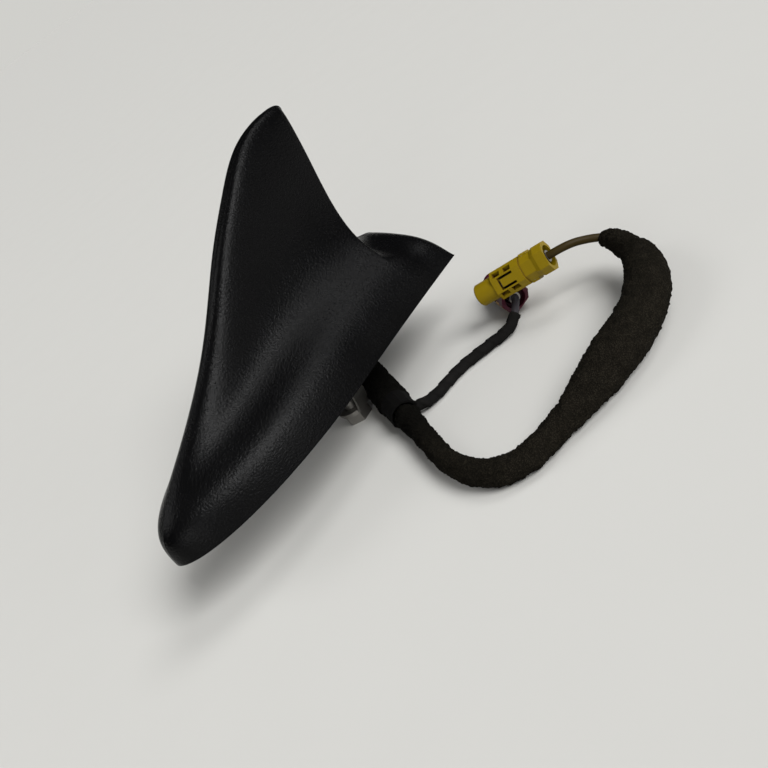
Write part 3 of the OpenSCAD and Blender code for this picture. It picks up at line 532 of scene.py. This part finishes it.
print("foam")
foam = {
    "first": 11,                     # point of the GPS lead's route where the sleeve starts
    "sizes": [(5.0, 4.65), (4.1, 4.2), (3.9, 4.1), (3.9, 4.1), (4.1, 4.2), (4.5, 4.4), (4.7, 4.5),
              (4.4, 4.4), (4.3, 4.4), (5.3, 5.3), (7.1, 6.8), (8.2, 7.6), (8.1, 7.7), (7.7, 7.5),
              (7.6, 7.4), (6.5, 6.4), (4.9, 4.9), (4.1, 4.1), (2.9, 2.9)],
    "rootRoute": [(16, 0, -12.5), (15.4, -0.9, -16.5), (13.7, -3.2, -19.4), (11.4, -6.5, -20.5),
                  (5.6, -14.6, -20.5), (-1.1, -23.9, -20.5), (-1.9, -25.1, -20.5), (-4.4, -28.6, -20.5),
                  (-6.4, -31.3, -20.5)],
    "rootSize": (6.2, 5.4), "bandSize": (4.7, 4.2), "inBand": 3,  # the last stations lie in the band
    "rootHole": (4.0, 2.1), "hole": 1.75,
    "step": 0.7 * mm, "around": 64, "capShares": (0.0, 0.35, 0.7, 0.9), "capBulge": 0.4 * mm,
    "holeStep": 8,                   # rings of the outside to one ring of the hole
    "rough": 0.7 * mm, "mostLift": 0.45 * mm, "lump": 4 * mm, "pit": 0.9 * mm, "hair": 0.4 * mm}


def aboveFloor(p):
    return Vector((p.x, p.y, max(p.z, cadBox[0][2])))


def foamTube(name, stations, hole, finish, seed):
    # stations pair a place with a half width and half height
    route, steps = smoothRoute([s[0] for s in stations], foam["step"], [s[1] for s in stations])
    frames = framesAlong(route)
    around = foam["around"]
    rings = []

    def ring(i, scale, push=0.0):
        tangent, side, up = frames[i]
        made = []
        for k in range(around):
            turn = 2 * math.pi * k / around
            outward = (side * math.cos(turn) * (hole[0] + (steps[i].x - hole[0]) * scale)
                       + up * math.sin(turn) * (hole[1] + (steps[i].y - hole[1]) * scale))
            made.append(route[i] + outward + tangent * push)
        return made

    shares, last = foam["capShares"], len(route) - 1
    for share in shares:
        rings.append(ring(0, share, foam["capBulge"] * (1 - share)))
    rings += [ring(i, 1.0) for i in range(last + 1)]
    for share in reversed(shares):
        rings.append(ring(last, share, -foam["capBulge"] * (1 - share)))
    middle = [ring(i, 0.0) for i in range(last, -1, -foam["holeStep"])]
    rings += middle[1:]
    count = len(rings)
    points = []
    for n, row in enumerate(rings):
        centre = sum(row, Vector()) / around
        inside = n >= count - len(middle) + 1
        for p in row:
            out = (p - centre).normalized()
            place = p + Vector((seed, 0, 0))
            lumps = noise.noise(place / foam["lump"]) * 0.7
            pits = noise.voronoi(place / foam["pit"])[0][0]
            hairs = noise.noise(place / foam["hair"]) * 0.75
            lift = 0.0 if inside else foam["rough"] * (lumps + hairs - 1.1 * (0.55 - pits))
            points.append(aboveFloor(p + out * min(lift, foam["mostLift"])))
    faces = gridFaces(count, around) + [
        ((count - 1) * around + j, (count - 1) * around + (j + 1) % around, (j + 1) % around, j)
        for j in range(around)]
    piece = newPiece(name, points, faces, finish)
    return piece


def inMetres(pair):
    return Vector((pair[0] * mm, pair[1] * mm))


sleeveStations = [(gpsRoute[foam["first"] + i], inMetres(size)) for i, size in enumerate(foam["sizes"])]
foamSleeve = foamTube("foamSleeve", sleeveStations, inMetres((foam["hole"], foam["hole"])),
                      finishes["foam"], 0.0)
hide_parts("foam_sleeve")
openStations = len(foam["rootRoute"]) - foam["inBand"]
rootSizes = [foam["rootSize"]] * openStations + [foam["bandSize"]] * foam["inBand"]
rootStations = [(Vector(p) * mm, inMetres(size)) for p, size in zip(foam["rootRoute"], rootSizes)]
foamRoot = foamTube("foamRoot", rootStations, inMetres(foam["rootHole"]), finishes["root"], 0.3)
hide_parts("foam_root")


# Cloth tape on the phone lead

print("tape")
tape = {"from": 10, "to": 20,        # points of the phone lead's route where it starts and ends
        "thick": 0.85 * mm, "wrap": 6 * mm, "lap": 0.4 * mm, "wrinkle": 0.12 * mm, "wrinkleSize": 1.5 * mm,
        "around": 28, "step": 0.5 * mm}


def tapeTube(name, route, radius, finish):
    fine = smoothRoute(route, tape["step"])
    frames = framesAlong(fine)
    points, gone = [], 0.0
    for i, place in enumerate(fine):
        if i:
            gone += (place - fine[i - 1]).length
        tangent, side, up = frames[i]
        for k in range(tape["around"]):
            turn = 2 * math.pi * k / tape["around"]
            phase = (gone / tape["wrap"] + k / tape["around"]) % 1
            wrinkle = noise.noise(place / tape["wrinkleSize"] + Vector((turn, 0, 0)))
            lap = tape["lap"] * (1 - phase) + tape["wrinkle"] * wrinkle
            reach = radius - tape["lap"] + lap
            points.append(aboveFloor(place + (side * math.cos(turn) + up * math.sin(turn)) * reach))
    faces = gridFaces(len(fine), tape["around"])
    last = (len(fine) - 1) * tape["around"]
    faces.append(tuple(range(tape["around"] - 1, -1, -1)))
    faces.append(tuple(last + k for k in range(tape["around"])))
    return newPiece(name, points, faces, finish)


clothTape = tapeTube("clothTape", phoneRoute[tape["from"]:tape["to"] + 1],
                     leads["diameter"] / 2 + tape["thick"], finishes["cloth"])
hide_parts("cloth_tape")
dressNodes({"branch_band": "band"})

routeLength(gpsRoute)
([foamSleeve, foamRoot] + [frame["nodes"][n] for n in (
            "yellow_housing", "yellow_clip", "yellow_contact", "yellow_insulator", "yellow_pin",
            "yellow_ferrule")])
routeLength(phoneRoute)


# Fin cover

print("cover")
cover = {
    "length": 160.0, "width": 63.4, "finHeight": 83.0, "tailHeight": 17.0, "tailBow": 7.4,
    "shoulder": 17.2, "rootHalf": 6.6, "midHalf": 6.3, "crestHalf": 4.2, "wall": 2.2, "edge": 0.8,
    "studFromNose": 94.6, "noseRun": 89.0, "nosePower": 2.05, "tailFlare": 1.12, "flareFrom": 88.0,
    "stations": 180, "half": 44, "ribs": 44, "creaseAbove": 50}
# shares of the cover's length and the fin's height, foot station, turn from blade to arch
crest = [(0, 0, 0, 0.95), (0, 0.085, 0.004, 0.95), (0.025, 0.172, 0.036, 0.95), (0.197, 0.312, 0.2, 0.6),
         (0.389, 0.492, 0.388, 0.2), (0.557, 0.735, 0.53, 0), (0.69, 0.878, 0.628, 0),
         (0.79, 0.988, 0.698, 0), (0.908, 1.008, 0.757, 0), (0.994, 0.972, 0.796, 0),
         (0.922, 0.85, 0.828, 0.05), (0.868, 0.61, 0.86, 0.2), (0.872, 0.35, 0.893, 0.4)]
tail = [(0.915, 1.27, 0.922, 0.62), (0.948, 1.17, 0.948, 0.8), (0.99, 1, 0.98, 0.92),
        (1, 0.49, 0.996, 1), (1, 0, 1, 1)]
footLength = cover["length"] - cover["tailBow"]
spineControls = (
    [Vector((a * cover["length"], b * cover["finHeight"], f * footLength, k)) for a, b, f, k in crest]
    + [Vector((a * cover["length"], b * cover["tailHeight"], f * footLength, k)) for a, b, f, k in tail])


def splineAt(points, share):  # uniform cubic B-spline held at its ends
    held = [points[0]] * 2 + points + [points[-1]] * 2
    spans = len(held) - 3
    i = min(int(share * spans), spans - 1)
    f = share * spans - i
    return ((1 - f) ** 3 * held[i] + (3 * f ** 3 - 6 * f * f + 4) * held[i + 1]
            + (-3 * f ** 3 + 3 * f * f + 3 * f + 1) * held[i + 2] + f ** 3 * held[i + 3]) / 6


def footHalfWidth(x):
    c = cover
    s = min(max(x / c["noseRun"], 0), 1)
    r = min(max((x - c["flareFrom"]) / (footLength - c["flareFrom"]), 0), 1)
    return (c["width"] / 2 * (1 - (1 - s) ** c["nosePower"]) ** (1 / 1.8)
            * (1 + (c["tailFlare"] - 1) * r ** 1.5))


def ribAt(share):  # half width, height, foot station, crest station and turn of one section
    x1, h, x0, turn = splineAt(spineControls, share)
    return Vector((footHalfWidth(x0), h, x0, x1, turn))


def stepAside(line, d):  # a line moved sideways by d, towards its right
    moved = []
    for i, p in enumerate(line):
        run = (line[min(i + 1, len(line) - 1)] - line[max(i - 1, 0)]).normalized()
        moved.append(p + d * Vector((run.y, -run.x)))
    return moved


def innerRibs(d):  # sections of the skin that lies d inside the outer one
    count = cover["ribs"]
    outer = [ribAt(min(max(i + 0.9, 0) / (count + 0.8), 1) if 0 < i < count - 1 else i // (count - 1))
             for i in range(count)]
    crestLine = stepAside([Vector((r[3], r[1])) for r in outer], d)
    footLine = stepAside([Vector((r[2], r[0])) for r in outer], d)
    made = [Vector((0, 0, d, d, outer[0][4]))]
    for i in range(1, count - 1):
        x0 = min(max(footLine[i].x, d + 0.3 * outer[i][2]), footLength - d - 0.02 * (count - 1 - i))
        made.append(Vector((max(footLine[i].y, 0.3 * outer[i][0]), max(crestLine[i].y, 0.3 * outer[i][1]),
                            x0, crestLine[i].x, outer[i][4])))
    return made + [Vector((max(footLine[-1].y, 0.3 * outer[-1][0]), 0, footLength - d,
                           cover["length"] - d, outer[-1][4]))]


def softMin(a, b):  # the smaller of two, blended where they are alike
    return a * b / (a ** 4 + b ** 4) ** 0.25


def coverHalf(w, h, turn, d):  # control points of half a section, from the foot to the crest
    c = cover
    shoulder = c["shoulder"] - d
    hs = softMin(shoulder, 0.64 * h)
    root, mid, top = (softMin(c[k] - d, share * w) for k, share in (
        ("rootHalf", 0.47), ("midHalf", 0.4), ("crestHalf", 0.3)))
    blade = [(w, 0), (0.92 * w, 0.6 * hs), (0.77 * w, 1.05 * hs),
             (root + 0.22 * (w - root), hs + 0.16 * (h - hs)), (root, hs + 0.42 * (h - hs)),
             (mid, hs + 0.75 * (h - hs)), (top, h), (0, h)]
    ha = softMin(h, 1.3 * shoulder)
    arch = [(w, 0), (0.95 * w, 0.3 * ha), (0.85 * w, 0.6 * ha), (0.68 * w, 0.85 * ha), (0.46 * w, 0.97 * ha),
            (0.28 * w, 0.3 * h + 0.7 * ha), (0.12 * w, 0.8 * h + 0.2 * ha), (0, 1.01 * h)]
    return [Vector(a).lerp(Vector(b), turn) for a, b in zip(blade, arch)]


def skinPoints(ribs, d):  # the nose point, then the sections
    half = cover["half"]
    leans = [math.sin(math.pi / 2 * j / (half - 1)) ** 2 for j in range(half)]
    points = [Vector((d, 0, 0))]
    for w, h, x0, x1, turn in ribs:
        section = coverHalf(w, h, turn, d)
        line = [splineAt(section, j / (half - 1)) for j in range(half)]
        points += [Vector((x0 + (x1 - x0) * g, -p.x, p.y)) for p, g in zip(line, leans)]
        points += [Vector((x0 + (x1 - x0) * g, p.x, p.y)) for p, g in zip(line[-2::-1], leans[-2::-1])]
    return points


def coverShell():  # outer skin, inner skin and the edge between them
    count, across, d = cover["stations"], 2 * cover["half"] - 1, cover["wall"]
    shares = [(i + 3) / (count + 6) for i in range(1, count - 1)] + [1]
    outer = [ribAt(share) for share in shares]
    outer[-1][1] = 0
    coarse, inner = innerRibs(d), []
    for share in shares:
        place = min(max(share * (cover["ribs"] + 0.8) - 0.9, 0.15), cover["ribs"] - 1)
        low = min(int(place), cover["ribs"] - 2)
        inner.append(coarse[low].lerp(coarse[low + 1], place - low))
    points = skinPoints(outer, 0) + skinPoints(inner, d)
    size = len(points) // 2
    fan = [(0, 1 + j, 2 + j) for j in range(across - 1)]
    strips = [tuple(1 + k for k in (i * across + j, (i + 1) * across + j, (i + 1) * across + j + 1,
                                    i * across + j + 1))
              for i in range(count - 2) for j in range(across - 1)]
    skin = fan + strips
    rearRow = 1 + (count - 2) * across
    loop = ([0] + [1 + i * across for i in range(count - 1)] + [rearRow + j for j in range(1, across - 1)]
            + [across + i * across for i in reversed(range(count - 1))])
    rim = [(a, a + size, b + size, b) for a, b in zip(loop, loop[1:] + loop[:1])]
    shift = Vector((-cover["studFromNose"], 0, cover["edge"]))
    inside = [tuple(size + k for k in reversed(f)) for f in skin]
    return [(p + shift) * mm for p in points], skin + inside + rim


coverPoints, coverFaces = coverShell()
finCover = newPiece("finCover", coverPoints, coverFaces, finishes["fin_cover"])
finCover.data.set_sharp_from_angle(angle=math.radians(cover["creaseAbove"]))
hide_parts("fin_cover")
